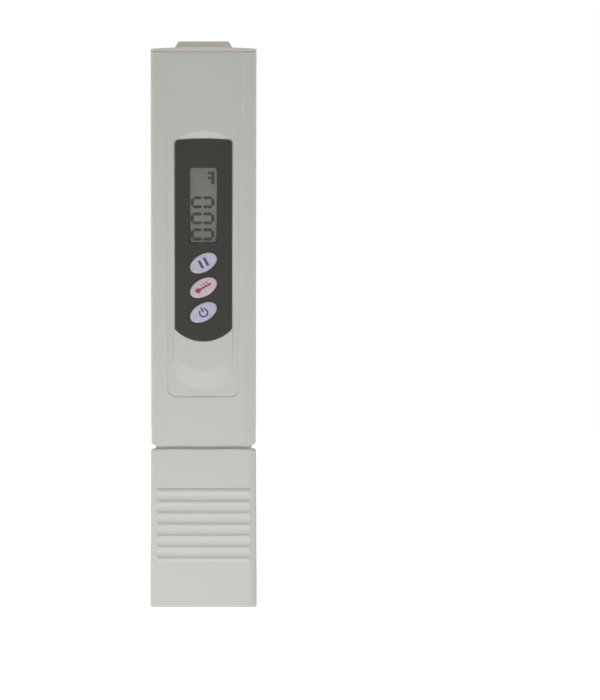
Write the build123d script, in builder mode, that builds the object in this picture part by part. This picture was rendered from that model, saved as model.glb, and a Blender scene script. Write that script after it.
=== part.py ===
from build123d import *
import os
from math import atan2, cos, degrees, radians, sin

os.makedirs("parts", exist_ok=True)

# Pocket water tester. +Z runs up the pen, the front faces -Y, millimetres throughout.
# The origin is the centre of the cap's flat bottom, on the pen's axis.

# Housing. Its width follows from the two button cells side by side
body_taper = 0.4
body_depth = 14.0
wall = 1.4
edge_radius = 1.2
front_strip_width = 3.3
front_strip_drop = 0.8
back_strip_width = 2.4
back_strip_drop = 0.6

# Clearances
part_gap = 0.1
slide_gap = 0.15
key_gap = 0.15
shaft_gap = 0.05
embed = 0.3

# Probe cap
cap_length = 43.1
cap_reveal = 0.9
cap_wall = 1.15
cap_floor = 1.4
cap_flare = 0.25
cap_corner_radius = 2.2
cap_bottom_round = 0.6
cap_mouth_chamfer = 0.45
body_end_chamfer = 0.6
neck_end_chamfer = 0.3
cap_side_gap = 0.15
ridge_count = 7
ridge_pitch = 3.07
ridge_top_height = 31.5
ridge_half_width = 0.75
ridge_crest_half_width = 0.16
ridge_height = 0.5
ridge_valley_rise = 0.12
ridge_valley_dip = 0.08
ridge_end_inset = 1.25
ridge_end_radius = 1.4
pip_radius = 1.0
pip_rise = 0.75
pip_lift = 0.4
pip_stem_width = 0.45
pip_stem_length = 1.9

# Neck and probe
neck_inset = 1.1
neck_length = 8.0
neck_wall = 1.4
neck_radius = 1.6
floor_thickness = 1.5
seal_thickness = 0.6
flange_thickness = 2.0
probe_wall = 1.4
probe_end_height = 9.0
probe_radius = 1.4
well_depth = 16.0
web_thickness = 5.0
drain_slot_width = 8.0
drain_slot_height = 11.0
pin_radius = 0.8
pin_spacing = 13.0
pin_end_recess = 3.0
pin_tail = 2.0
thermistor_radius = 1.1
thermistor_reach = 4.0
lead_radius = 0.45
thermistor_lead_radius = 0.3
thermistor_lead_spacing = 1.1
lead_bend_radius = 4.0
lead_landing = 4.0

# Battery end
tab_height = 1.6
tab_width = 13.6
tab_depth = 6.0
tab_flare = 1.0
plate_thickness = 1.3
plate_crown = 0.6
notch_radius = 4.3
notch_drop = 0.5
notch_gap = 0.25
latch_below_top = 10.5
latch_width = 8.0
latch_height = 2.15
latch_tooth_gap = 0.25
latch_rim_width = 0.7
latch_rim_rise = 0.25
latch_skin = 0.6
latch_tongue_width = 7.0
latch_tongue_thickness = 1.0
cell_diameter = 11.6
cell_thickness = 5.4
cell_gap = 0.1
cell_web = 0.4
tray_side_wall = 0.6
tray_floor = 0.6
tray_lip = 0.8
tray_side_gap = 0.2
tray_latch_gap = 1.5
bridge_thickness = 0.3
bridge_margin = 0.5
bridge_stud_radius = 2.2
contact_strip = 0.25
contact_width = 3.0
partition_thickness = 1.0
bay_room = 0.6

# Front channel and display bed
channel_depth = 0.35
channel_width_top = 21.6
channel_width_bottom = 20.0
channel_end_below_bed = 2.5
channel_corner_radius = 2.6
channel_wall_slope = 55.0
label_below_top = 23.6
label_width = 15.5
label_arc_height = 3.4
label_top_arch = 0.4
label_corner_radius = 1.0
label_thickness = 0.25
label_seat_depth = 0.15
bed_sink = 0.9
bed_rise = 0.7
bed_flat_below_label = 8.1
bed_skirt = 4.7
bed_above_body_end = 15.5
bed_margin = 0.15
bed_flat_corner = 7.2
bed_edge_corner = 6.0
recess_wall_slope = 20.0
crescent_height = 1.9

# Display
window_width = 7.7
window_length = 20.7
window_top_margin = 7.7
window_wall_slope = 15.0
window_corner_radius = 0.4
pane_margin = 1.15
pane_thickness = 0.6
pad_wall = 1.0
pad_width = 19.0
pad_rise = 3.6
glass_end_margin = 1.6
glass_sheet = 0.75
glass_ledge = 1.3
reflector_thickness = 0.15
lcd_frame_wall = 1.1
lcd_peg_radius = 0.6
zebra_width = 1.0

# Keys, top to bottom
key_below_glass = 3.8
label_below_keys = 7.9
key_pitch = 6.7
key_count = 3
key_half_length = 3.97
key_half_width = 2.37
key_tilt = 29.5
key_rise = 0.5
key_edge_round = 0.35
key_flange = 0.4
key_flange_thickness = 0.6
key_stem_radius = 1.5
key_travel = 0.3
switch_width = 6.0
switch_height = 3.6
switch_depth = 1.6
plunger_radius = 0.98
plunger_rise = 0.5
plunger_hidden = 0.5

# Circuit board
board_thickness = 1.0
board_front_y = -1.0
board_side_gap = 0.8
board_lead_room = 9.0
screw_radius = 0.8
screw_head_radius = 1.5
screw_head_height = 0.7
screw_length = 4.6
screw_slot = 0.4
boss_radius = 1.6
boss_inset = 2.9
boss_from_board_end = 7.0
trimmer_below_top = 22.8
trimmer_size = 6.4
trimmer_height = 2.2
rotor_radius = 1.8
rotor_rise = 0.7
rotor_seat_depth = 0.85
rotor_slot_width = 0.5
rotor_slot_depth = 0.45
trim_hole_radius = 1.93
trim_hole_chamfer = 0.3
blob_radius = 4.5
blob_height = 1.6

# Pocket clip
clip_top_below_top = 27.7
clip_length = 50.9
clip_root_width = 8.0
clip_tip_width = 3.9
clip_thickness = 1.5
clip_root_standoff = 3.1
clip_tip_standoff = 1.1
clip_tip_gap = 0.35
clip_bevel = 0.6
clip_foot_width = 5.8
clip_foot_height = 4.0
clip_foot_below_end = 1.8
clip_hook = 0.5
clip_slot_gap = 0.2

# Cells and tray side by side give the width of the housing
cell_x = cell_diameter / 2 + cell_gap + cell_web / 2
tray_width = 2 * (cell_x + cell_diameter / 2 + cell_gap + tray_side_wall)
cavity_width = tray_width + 2 * tray_side_gap
body_width_bottom = cavity_width + 2 * wall
body_width_top = body_width_bottom + body_taper

# The window and the keys give the length of the label
pane_width = window_width + 2 * pane_margin
pane_length = window_length + 2 * pane_margin
glass_width = pane_width + 2 * glass_ledge
glass_length = window_length + 2 * glass_end_margin
window_below_label_top = window_top_margin + window_length / 2
key_below_label_top = window_below_label_top + glass_length / 2 + key_below_glass
label_length = key_below_label_top + (key_count - 1) * key_pitch + label_below_keys

# Heights from the cap's bottom up
body_bottom = cap_length + cap_reveal
bed_edge_end = body_bottom + bed_above_body_end
bed_flat_end = bed_edge_end + bed_skirt
label_bottom = bed_flat_end + bed_flat_below_label
label_top = label_bottom + label_length
body_top = label_top + label_below_top
overall_length = body_top + part_gap + plate_thickness + tab_height

# Faces of the housing
front_y = -body_depth / 2
back_y = body_depth / 2
inner_front_y = front_y + wall
inner_back_y = back_y - wall
cavity_depth = body_depth - 2 * wall
cavity_bottom = body_bottom + floor_thickness
cavity_radius = 0.8
neck_width = body_width_bottom - 2 * neck_inset
neck_depth = body_depth - 2 * neck_inset
neck_bottom = body_bottom - neck_length
neck_bore_width = neck_width - 2 * neck_wall
neck_bore_depth = neck_depth - 2 * neck_wall
neck_bore_radius = neck_radius
flange_bottom = cavity_bottom + seal_thickness
flange_top = flange_bottom + flange_thickness
tongue_thickness = 0.6
tongue_height = 0.9
seam_groove = 0.16
seam_groove_depth = 0.35

# The display bed is a plane that sinks into the channel at its top and stands proud at its bottom
channel_y = front_y + channel_depth
channel_end_height = bed_edge_end - channel_end_below_bed
bed_slope = (bed_sink + bed_rise) / (label_top - bed_flat_end)
bed_tilt = degrees(atan2(bed_sink + bed_rise, label_top - bed_flat_end))
bed_cross_height = label_top - bed_sink / bed_slope
window_height = label_top - window_below_label_top
pad_back_y = channel_y + bed_sink + label_seat_depth + pad_wall
pane_front_y = pad_back_y - pane_thickness
key_heights = [label_top - key_below_label_top - i * key_pitch for i in range(key_count)]

# Board, keys and battery bay
board_back_y = board_front_y + board_thickness
board_width = cavity_width - 2 * board_side_gap
tray_height = cell_diameter + 2 * cell_gap + 2 * tray_side_wall
partition_top = body_top + part_gap - tray_height - bay_room
board_top = partition_top - partition_thickness - bay_room
board_bottom = flange_top + board_lead_room
screw_x = cavity_width / 2 - boss_inset
screw_heights = [board_bottom + boss_from_board_end, board_top - boss_from_board_end]
trimmer_z = body_top - trimmer_below_top
plunger_tip_y = board_front_y - switch_depth - plunger_rise
key_flange_front_y = inner_front_y + part_gap
key_flange_back_y = key_flange_front_y + key_flange_thickness
glass_front_y = pad_back_y + part_gap
glass_back_y = glass_front_y + 2 * glass_sheet
cross_bar_z = glass_length / 2 + part_gap + embed - lcd_frame_wall / 2
post_radius = 1.2
post_height = label_bottom

# Small parts on the board's back
blob_slope = 40.0
chip_width = 3.9
chip_length = 4.9
chip_height = 1.4
chip_leg_thickness = 0.2
chip_leg_pitch = 1.27
chip_leg_reach = 1.0
amplifier_z = key_heights[-1]
crystal_radius = 1.0
crystal_length = 6.0
crystal_x = 4.5
crystal_z = key_heights[0]
small_part_x = 6.2
small_part_pitch = 2.4
small_part_length = 1.6
small_part_width = 0.8
capacitor_count = 5
resistor_count = 5

# Battery end
latch_z = body_top - latch_below_top
track_bottom = latch_z - latch_height / 2 - latch_tooth_gap
plate_bottom = body_top + part_gap
plate_top = plate_bottom + plate_thickness
notch_z = body_top - notch_drop
latch_back_y = inner_back_y - 2 * part_gap
latch_tongue_end = latch_z - latch_height
cell_z = plate_bottom - tray_side_wall - cell_gap - cell_diameter / 2
cell_cap_step = 0.4
cell_cap_inset = 0.9
tray_bottom = cell_z - cell_diameter / 2 - cell_gap - tray_side_wall
tray_edge_radius = 0.8
tray_back_y = latch_back_y - latch_tongue_thickness - tray_latch_gap
cell_back_y = tray_back_y - tray_floor
cell_front_y = cell_back_y - cell_thickness
tray_front_y = cell_front_y - tray_lip
contact_foot = 4.0

# Probe
probe_width = neck_bore_width - 2 * part_gap
probe_depth = neck_bore_depth - 2 * part_gap
flange_width = cavity_width - 4 * part_gap
flange_depth = cavity_depth - 4 * part_gap
well_radius = 0.6
web_bottom = probe_end_height + well_depth
web_top = web_bottom + web_thickness
pin_top = web_top + pin_tail

# Clip and cap
clip_top = body_top - clip_top_below_top
clip_bottom = clip_top - clip_length
clip_foot_z = clip_top - clip_foot_below_end - clip_foot_height / 2
cap_bore_width = neck_width + 2 * slide_gap
cap_bore_depth = neck_depth + 2 * slide_gap
cap_bore_radius = neck_radius + slide_gap
crescent_scale = 2.0
pip_ridges = (3, 5)
cap_width_top = body_width_bottom + 2 * cap_side_gap
cap_width_bottom = cap_width_top + cap_flare
cap_depth_top = body_depth + 2 * cap_side_gap
cap_depth_bottom = cap_depth_top + cap_flare / 2


def front_plane(y):
    """Upright plane at depth y that faces the front, with X to the right and Z up."""
    return Plane(origin=(0, y, 0), x_dir=(1, 0, 0), z_dir=(0, -1, 0))


def back_plane(y):
    """Upright plane at depth y that faces the back."""
    return Plane(origin=(0, y, 0), x_dir=(-1, 0, 0), z_dir=(0, 1, 0))


def bed_plane(sunk):
    """The tilted display bed, sunk by a depth. Its origin is at the label's top edge."""
    normal = Vector(0, -cos(radians(bed_tilt)), sin(radians(bed_tilt)))
    foot = Vector(0, channel_y + bed_sink, label_top) - normal * sunk
    return Plane(origin=foot, x_dir=(1, 0, 0), z_dir=normal)


def bed_y(height):
    """Depth of the display bed at a height."""
    return channel_y + bed_sink - (label_top - height) * bed_slope


def body_section(width):
    """Housing section with flat faces, sloping edge strips and rounded corners."""
    side = width / 2
    with BuildSketch() as section:
        with BuildLine():
            Polyline(
                (-side + front_strip_width, front_y),
                (side - front_strip_width, front_y),
                (side, front_y + front_strip_drop),
                (side, back_y - back_strip_drop),
                (side - back_strip_width, back_y),
                (-side + back_strip_width, back_y),
                (-side, back_y - back_strip_drop),
                (-side, front_y + front_strip_drop),
                close=True,
            )
        make_face()
        fillet(section.vertices(), edge_radius)
    return section.sketch


def label_outline(grow):
    """Display overlay seen square on: flat sides, arched top and a round lower end."""
    side = label_width / 2 + grow
    arc_start = -label_length + label_arc_height
    with BuildSketch() as outline:
        with BuildLine():
            ThreePointArc((-side, arc_start), (0, -label_length - grow), (side, arc_start))
            Line((side, arc_start), (side, grow - label_top_arch))
            ThreePointArc((side, grow - label_top_arch), (0, grow), (-side, grow - label_top_arch))
            Line((-side, grow - label_top_arch), (-side, arc_start))
        make_face()
        fillet(outline.vertices().group_by(Axis.Y)[-1], label_corner_radius + grow)
    return outline.sketch


def arched_strip(bottom, side_top, middle_top):
    """Strip as wide as the label's seat, with an arched upper edge."""
    side = label_width / 2 + part_gap
    with BuildSketch() as outline:
        with BuildLine():
            Polyline((-side, side_top), (-side, bottom), (side, bottom), (side, side_top))
            ThreePointArc((side, side_top), (0, middle_top), (-side, side_top))
        make_face()
    return outline.sketch


def u_outline(half_width, bottom, top, corner):
    """Straight-sided outline with two round lower corners."""
    with BuildSketch() as outline:
        with BuildLine():
            Polyline((-half_width, top), (-half_width, bottom), (half_width, bottom), (half_width, top), close=True)
        make_face()
        fillet(outline.vertices().group_by(Axis.Y)[0], corner)
    return outline.sketch


# Housing blank: tapered body, neck and inside, before it is parted into two shells
with BuildPart() as blank:
    with BuildSketch(Plane.XY.offset(body_bottom)):
        add(body_section(body_width_bottom))
    with BuildSketch(Plane.XY.offset(body_top)):
        add(body_section(body_width_top))
    loft()
    chamfer(blank.faces().sort_by(Axis.Z)[0].edges(), body_end_chamfer)
    with BuildSketch(Plane.XY.offset(neck_bottom)):
        RectangleRounded(neck_width, neck_depth, neck_radius)
    extrude(amount=neck_length + embed)
    chamfer(blank.faces().sort_by(Axis.Z)[0].edges(), neck_end_chamfer)
    with BuildSketch(Plane.XY.offset(cavity_bottom)):
        RectangleRounded(cavity_width, cavity_depth, cavity_radius)
    extrude(amount=body_top - cavity_bottom, mode=Mode.SUBTRACT)
    with BuildSketch(Plane.XY.offset(neck_bottom)):
        RectangleRounded(neck_bore_width, neck_bore_depth, neck_bore_radius)
    extrude(amount=cavity_bottom - neck_bottom, mode=Mode.SUBTRACT)
    groove_x = body_width_bottom / 2 - seam_groove_depth + wall
    with BuildSketch(Plane.XY.offset(body_bottom)):
        with Locations((-groove_x, 0), (groove_x, 0)):
            Rectangle(2 * wall, seam_groove)
    extrude(amount=body_top - body_bottom, mode=Mode.SUBTRACT)

# Front shell
tongue_x = cavity_width / 2 + tongue_thickness / 2
clamp_rib_bottom = flange_top + part_gap
clamp_rib_size = 1.0
clamp_rib_reach = 1.2
clamp_rib_width = 12.0
with BuildPart() as front_shell:
    add(blank.part)
    split(bisect_by=Plane.XZ, keep=Keep.TOP)
    # Tongue along both side seams
    with BuildSketch(Plane.XY.offset(cavity_bottom)):
        with Locations((-tongue_x, (tongue_height - embed) / 2), (tongue_x, (tongue_height - embed) / 2)):
            Rectangle(tongue_thickness, tongue_height + embed)
    extrude(amount=body_top - cavity_bottom)
    # Thick pad behind the sunk part of the display bed
    pad_bottom = window_height - window_length / 2 - pane_margin - part_gap
    pad_top = label_top + pad_rise
    with BuildSketch(front_plane(pad_back_y)):
        with Locations((0, (pad_bottom + pad_top) / 2)):
            Rectangle(pad_width, pad_top - pad_bottom)
    extrude(amount=pad_back_y - inner_front_y + embed)
    # Screw bosses
    with BuildSketch(front_plane(board_front_y)):
        with Locations([(x, z) for x in (-screw_x, screw_x) for z in screw_heights]):
            Circle(boss_radius)
    extrude(amount=board_front_y - inner_front_y + embed)
    with BuildSketch(front_plane(board_front_y)):
        with Locations([(x, z) for x in (-screw_x, screw_x) for z in screw_heights]):
            Circle(screw_radius + shaft_gap)
    extrude(amount=screw_length - board_thickness + part_gap, mode=Mode.SUBTRACT)
    # Rib that clamps the probe's flange
    with BuildSketch(front_plane(inner_front_y + clamp_rib_reach)):
        with Locations((0, clamp_rib_bottom + clamp_rib_size / 2)):
            Rectangle(clamp_rib_width, clamp_rib_size)
    extrude(amount=clamp_rib_reach + embed)
    # Shallow channel down the front
    with BuildSketch(front_plane(front_y)) as channel:
        with BuildLine():
            Polyline(
                (-channel_width_bottom / 2, channel_end_height),
                (channel_width_bottom / 2, channel_end_height),
                (channel_width_top / 2, body_top + wall),
                (-channel_width_top / 2, body_top + wall),
                close=True,
            )
        make_face()
        fillet(channel.vertices().group_by(Axis.Y)[0], channel_corner_radius)
    extrude(amount=-channel_depth, taper=channel_wall_slope, mode=Mode.SUBTRACT)
    # Proud lower end of the display bed, with its sloping skirt
    base_y = inner_front_y - embed
    skirt_reach = (channel_y - base_y) / bed_rise
    visible_half_width = label_width / 2 + bed_margin + part_gap
    flat_half_width = label_width / 2 + bed_margin
    base_bottom = bed_edge_end + skirt_reach * bed_skirt
    base_corner = bed_edge_corner + skirt_reach * (bed_flat_corner - bed_edge_corner)
    base_half_width = visible_half_width - skirt_reach * part_gap
    with BuildSketch(front_plane(base_y)):
        add(u_outline(base_half_width, base_bottom, bed_cross_height, base_corner))
    with BuildSketch(bed_plane(0)):
        add(
            u_outline(
                flat_half_width,
                bed_flat_end - label_top,
                bed_cross_height - label_top,
                bed_flat_corner,
            )
        )
    loft()
    # Label seat, sunk at the top, with a sloping crescent above it
    with BuildSketch(bed_plane(label_seat_depth)):
        add(label_outline(part_gap))
    extrude(amount=body_depth / 4, taper=-recess_wall_slope, mode=Mode.SUBTRACT)
    # Sloping crescent from the channel down to the label's top edge
    crescent_lift = crescent_scale * crescent_height
    crescent_foot = -crescent_height
    with BuildSketch(bed_plane(label_seat_depth)):
        add(arched_strip(crescent_foot, part_gap - label_top_arch, part_gap))
    with BuildSketch(bed_plane(label_seat_depth - crescent_scale * (bed_sink + label_seat_depth))):
        add(arched_strip(crescent_foot, part_gap, crescent_lift))
    loft(mode=Mode.SUBTRACT)
    # Display window with sloping walls, and the seat of its pane
    with BuildSketch(bed_plane(label_seat_depth)):
        with Locations((0, -window_below_label_top)):
            RectangleRounded(window_width, window_length, window_corner_radius)
    extrude(amount=-body_depth / 4, taper=window_wall_slope, mode=Mode.SUBTRACT)
    with BuildSketch(front_plane(pad_back_y)):
        with Locations((0, window_height)):
            Rectangle(pane_width, pane_length)
    extrude(amount=pane_thickness, mode=Mode.SUBTRACT)
    # Key holes
    with BuildSketch(front_plane(inner_front_y + embed)):
        with Locations([(0, height) for height in key_heights]):
            Ellipse(key_half_length + key_gap, key_half_width + key_gap, rotation=key_tilt)
    extrude(amount=body_depth / 4, mode=Mode.SUBTRACT)
front_shell.part.label = "front_shell"

# Back shell
rebate_x = cavity_width / 2 + (tongue_thickness + part_gap) / 2
with BuildPart() as back_shell:
    add(blank.part)
    split(bisect_by=Plane.XZ, keep=Keep.BOTTOM)
    # Rebate for the front shell's tongue
    with BuildSketch(Plane.XY.offset(cavity_bottom - part_gap)):
        with Locations((-rebate_x, tongue_height / 2), (rebate_x, tongue_height / 2)):
            Rectangle(tongue_thickness + part_gap, tongue_height + 2 * part_gap)
    extrude(amount=body_top - cavity_bottom + wall, mode=Mode.SUBTRACT)
    # Partition below the battery bay
    partition_depth = inner_back_y + embed - board_back_y - part_gap
    with BuildSketch(back_plane(board_back_y + part_gap)):
        with Locations((0, partition_top - partition_thickness / 2)):
            Rectangle(cavity_width - 2 * part_gap, partition_thickness)
    extrude(amount=partition_depth)
    # Rib that clamps the probe's flange
    with BuildSketch(back_plane(inner_back_y - clamp_rib_reach)):
        with Locations((0, clamp_rib_bottom + clamp_rib_size / 2)):
            Rectangle(clamp_rib_width, clamp_rib_size)
    extrude(amount=clamp_rib_reach + embed)
    # Posts that hold the board's middle
    with BuildSketch(back_plane(board_back_y + part_gap)):
        with Locations((-screw_x, post_height), (screw_x, post_height)):
            Circle(post_radius)
    extrude(amount=inner_back_y + embed - board_back_y - part_gap)
    # Boss round the clip's foot, raised rim of the latch window
    with BuildSketch(back_plane(back_y)):
        with Locations((0, latch_z)):
            SlotOverall(latch_width + 2 * latch_rim_width, latch_height + 2 * latch_rim_width)
    extrude(amount=latch_rim_rise, taper=channel_wall_slope)
    with BuildSketch(back_plane(back_y + latch_rim_rise)):
        with Locations((0, latch_z)):
            SlotOverall(latch_width, latch_height)
    extrude(amount=-2 * wall, mode=Mode.SUBTRACT)
    # Track that the latch tooth runs up when the battery cap is pulled
    with BuildSketch(back_plane(inner_back_y)):
        with Locations((0, (track_bottom + body_top) / 2)):
            Rectangle(latch_width + 2 * part_gap, body_top - track_bottom)
    extrude(amount=wall - latch_skin, mode=Mode.SUBTRACT)
    # Half-round notch in the top edge
    with BuildSketch(back_plane(inner_back_y - wall)):
        with Locations((0, notch_z)):
            Circle(notch_radius + notch_gap)
        with Locations((0, (notch_z + body_top + wall) / 2)):
            Rectangle(2 * (notch_radius + notch_gap), body_top + wall - notch_z)
    extrude(amount=3 * wall, mode=Mode.SUBTRACT)
    # Trimmer hole
    with BuildSketch(back_plane(inner_back_y - wall)):
        with Locations((0, trimmer_z)):
            Circle(trim_hole_radius)
    extrude(amount=3 * wall, mode=Mode.SUBTRACT)
    hole_edges = back_shell.edges().filter_by(GeomType.CIRCLE)
    rim = hole_edges.filter_by(lambda edge: abs(edge.radius - trim_hole_radius) < shaft_gap).sort_by(Axis.Y)[-1]
    chamfer(rim, trim_hole_chamfer)
    # Slot for the clip's foot
    with BuildSketch(back_plane(inner_back_y - wall)):
        with Locations((0, clip_foot_z)):
            Rectangle(clip_foot_width + 2 * clip_slot_gap, clip_foot_height + 2 * clip_slot_gap)
    extrude(amount=3 * wall, mode=Mode.SUBTRACT)
back_shell.part.label = "back_shell"

# Dark overlay on the display bed
with BuildPart() as display_panel:
    with BuildSketch(bed_plane(label_seat_depth)):
        add(label_outline(0))
        with Locations((0, -window_below_label_top)):
            RectangleRounded(window_width, window_length, window_corner_radius, mode=Mode.SUBTRACT)
        with Locations([(0, height - label_top) for height in key_heights]):
            Ellipse(key_half_length + key_gap, key_half_width + key_gap, rotation=key_tilt, mode=Mode.SUBTRACT)
    extrude(amount=label_thickness)
display_panel.part.label = "display_panel"

# Clear pane behind the window
with BuildPart() as display_window:
    with BuildSketch(front_plane(pad_back_y)):
        with Locations((0, window_height)):
            Rectangle(pane_width - 2 * shaft_gap, pane_length - 2 * shaft_gap)
    extrude(amount=pane_thickness)
display_window.part.label = "display_window"

# Display glass: a wide front sheet with contact ledges, and a narrow back sheet
with BuildPart() as lcd_glass:
    with BuildSketch(front_plane(glass_front_y + glass_sheet)):
        with Locations((0, window_height)):
            Rectangle(glass_width, glass_length)
    extrude(amount=glass_sheet)
    with BuildSketch(front_plane(glass_back_y)):
        with Locations((0, window_height)):
            Rectangle(glass_width - 2 * glass_ledge, glass_length)
    extrude(amount=glass_sheet)
lcd_glass.part.label = "lcd_glass"

# Reflecting film behind the glass
with BuildPart() as lcd_reflector:
    with BuildSketch(front_plane(glass_back_y + reflector_thickness)):
        with Locations((0, window_height)):
            Rectangle(glass_width - 2 * glass_ledge, glass_length)
    extrude(amount=reflector_thickness)
lcd_reflector.part.label = "lcd_reflector"

# Frame that holds the glass on the board, with four pegs and two cross bars under the glass
frame_length = glass_length + 2 * (part_gap + lcd_frame_wall)
frame_width = glass_width + 2 * (part_gap + lcd_frame_wall)
peg_x = frame_width / 2 - lcd_peg_radius
peg_z = frame_length / 2 - lcd_peg_radius
with BuildPart() as lcd_frame:
    with BuildSketch(front_plane(board_front_y)):
        with Locations((0, window_height)):
            RectangleRounded(frame_width, frame_length, lcd_peg_radius)
            Rectangle(glass_width + 2 * part_gap, glass_length + 2 * part_gap, mode=Mode.SUBTRACT)
    extrude(amount=board_front_y - glass_front_y)
    with BuildSketch(front_plane(board_front_y)):
        with Locations((0, window_height - cross_bar_z), (0, window_height + cross_bar_z)):
            Rectangle(glass_width - 2 * glass_ledge, lcd_frame_wall)
    extrude(amount=board_front_y - glass_back_y - reflector_thickness)
    with BuildSketch(front_plane(board_back_y + part_gap)):
        with Locations((0, window_height)):
            with GridLocations(2 * peg_x, 2 * peg_z, 2, 2):
                Circle(lcd_peg_radius)
    extrude(amount=board_thickness + part_gap)
lcd_frame.part.label = "lcd_frame"

# Rubber contact strips between the glass ledges and the board
zebra_x = glass_width / 2 - zebra_width / 2 - shaft_gap
with BuildPart() as zebra_strips:
    with BuildSketch(front_plane(board_front_y)):
        with Locations((-zebra_x, window_height), (zebra_x, window_height)):
            Rectangle(zebra_width, glass_length - 2 * shaft_gap)
    extrude(amount=board_front_y - glass_front_y - glass_sheet)
zebra_strips.part.label = "zebra_strips"

# Circuit board
with BuildPart() as main_board:
    with BuildSketch(front_plane(board_back_y)):
        with Locations((0, (board_bottom + board_top) / 2)):
            RectangleRounded(board_width, board_top - board_bottom, lcd_peg_radius)
        with Locations([(x, z) for x in (-screw_x, screw_x) for z in screw_heights]):
            Circle(screw_radius + part_gap, mode=Mode.SUBTRACT)
        with Locations((0, window_height)):
            with GridLocations(2 * peg_x, 2 * peg_z, 2, 2):
                Circle(lcd_peg_radius + shaft_gap, mode=Mode.SUBTRACT)
    extrude(amount=board_thickness)
main_board.part.label = "main_board"

# Board screws: cross-slotted pan heads on the back of the board
with BuildPart() as board_screws:
    with BuildSketch(back_plane(board_back_y)):
        with Locations([(x, z) for x in (-screw_x, screw_x) for z in screw_heights]):
            Circle(screw_head_radius)
    extrude(amount=screw_head_height)
    with BuildSketch(back_plane(board_back_y)):
        with Locations([(x, z) for x in (-screw_x, screw_x) for z in screw_heights]):
            Circle(screw_radius)
    extrude(amount=-screw_length)
    with BuildSketch(back_plane(board_back_y + screw_head_height)):
        with Locations([(x, z) for x in (-screw_x, screw_x) for z in screw_heights]):
            Rectangle(screw_head_radius, screw_slot)
            Rectangle(screw_slot, screw_head_radius)
    extrude(amount=-screw_slot, mode=Mode.SUBTRACT)
board_screws.part.label = "board_screws"

# Controller under a drop of resin, on the back of the board
with BuildPart() as controller_chip:
    with BuildSketch(back_plane(board_back_y)):
        with Locations((0, window_height)):
            Circle(blob_radius)
    extrude(amount=blob_height, taper=blob_slope)
    fillet(controller_chip.faces().sort_by(Axis.Y)[-1].edges(), blob_height / 2)
controller_chip.part.label = "controller_chip"

# Amplifier for the probe signal, with four legs a side
with BuildPart() as amplifier_chip:
    with BuildSketch(back_plane(board_back_y + chip_leg_thickness)):
        with Locations((0, amplifier_z)):
            Rectangle(chip_width, chip_length)
    extrude(amount=chip_height)
    with BuildSketch(back_plane(board_back_y)):
        with Locations((0, amplifier_z)):
            with GridLocations(0, chip_leg_pitch, 1, 4):
                Rectangle(chip_width + 2 * chip_leg_reach, chip_leg_pitch / 3)
    extrude(amount=2 * chip_leg_thickness)
amplifier_chip.part.label = "amplifier_chip"

# Clock crystal lying on the board
with BuildPart() as crystal:
    with BuildSketch(Plane.XY.offset(crystal_z)):
        with Locations((crystal_x, board_back_y + crystal_radius + shaft_gap)):
            Circle(crystal_radius)
    extrude(amount=crystal_length)
    chamfer(crystal.edges().filter_by(GeomType.CIRCLE), crystal_radius / 4)
crystal.part.label = "crystal"

# Small parts on the back of the board, either side of the middle
with BuildPart() as chip_capacitors:
    with BuildSketch(back_plane(board_back_y)):
        with Locations((-small_part_x, amplifier_z)):
            with GridLocations(0, small_part_pitch, 1, capacitor_count):
                Rectangle(small_part_length, small_part_width)
    extrude(amount=small_part_width)
chip_capacitors.part.label = "chip_capacitors"

with BuildPart() as chip_resistors:
    with BuildSketch(back_plane(board_back_y)):
        with Locations((small_part_x, amplifier_z)):
            with GridLocations(0, small_part_pitch, 1, resistor_count):
                Rectangle(small_part_length, small_part_width)
    extrude(amount=small_part_width / 2)
chip_resistors.part.label = "chip_resistors"

# Tact switches on the front of the board
with BuildPart() as switch_bodies:
    with BuildSketch(front_plane(board_front_y)):
        with Locations([(0, height) for height in key_heights]):
            Rectangle(switch_width, switch_height)
    extrude(amount=switch_depth)
    with BuildSketch(front_plane(board_front_y - switch_depth)):
        with Locations([(0, height) for height in key_heights]):
            Circle(plunger_radius + shaft_gap)
    extrude(amount=-plunger_hidden - key_travel - part_gap, mode=Mode.SUBTRACT)
switch_bodies.part.label = "switch_bodies"


def make_key(height):
    """Oval key with a retaining flange behind the housing wall and a stem to its switch."""
    face_y = bed_y(height) + label_seat_depth - label_thickness - key_rise
    with BuildPart() as key:
        with BuildSketch(front_plane(key_flange_back_y)):
            with Locations((0, height)):
                Ellipse(key_half_length + key_flange, key_half_width + key_flange, rotation=key_tilt)
        extrude(amount=key_flange_thickness)
        with BuildSketch(front_plane(key_flange_front_y)):
            with Locations((0, height)):
                Ellipse(key_half_length, key_half_width, rotation=key_tilt)
        extrude(amount=key_flange_front_y - face_y)
        fillet(key.faces().sort_by(Axis.Y)[0].edges(), key_edge_round)
        with BuildSketch(front_plane(plunger_tip_y)):
            with Locations((0, height)):
                Circle(key_stem_radius)
        extrude(amount=plunger_tip_y - key_flange_back_y)
    return key.part


def make_plunger(height):
    """Round plunger that stands out of its switch and meets the key's stem."""
    with BuildPart() as plunger:
        with BuildSketch(front_plane(board_front_y - switch_depth + plunger_hidden)):
            with Locations((0, height)):
                Circle(plunger_radius)
        extrude(amount=plunger_hidden + plunger_rise)
    return plunger.part


keys = {}
for name, height in zip(("hold", "temp", "power"), key_heights):
    keys[name + "_key"] = make_key(height)
    keys[name + "_plunger"] = make_plunger(height)
for name, piece in keys.items():
    piece.label = name

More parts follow.
